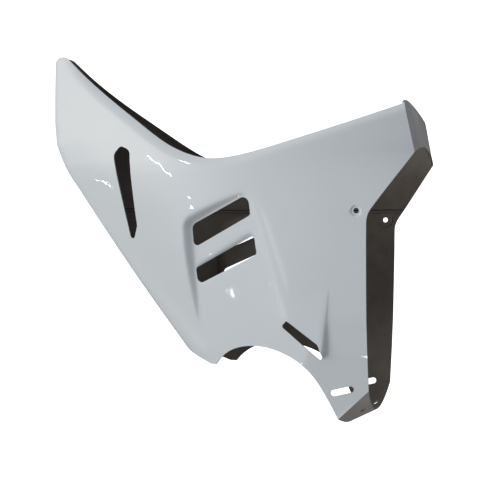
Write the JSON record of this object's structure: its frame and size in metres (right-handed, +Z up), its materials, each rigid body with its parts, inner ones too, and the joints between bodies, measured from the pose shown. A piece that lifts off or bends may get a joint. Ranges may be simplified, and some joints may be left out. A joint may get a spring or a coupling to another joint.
{
  "type": "front fairing panel",
  "caption": "Bow-shaped moulded fairing panel for the front of a small motorbike, with a fin, louvre windows, a cooling slot and slotted fixing holes in both sides.",
  "frame": {"origin": "midway between the two side screw holes, on their common axis and on the plane of symmetry", "axes": "+X rearward, +Y to the left side of the bike seen from the rider's seat, +Z up; the panel is the same on both sides of Y = 0"},
  "size_m": [0.5356, 0.219, 0.5039],
  "materials": {
    "laminate": "white gel coat outside, raw laminate inside"
  },
  "bodies": {
    "root": {"fairing_panel": "laminate"}
  },
  "joints": []
}
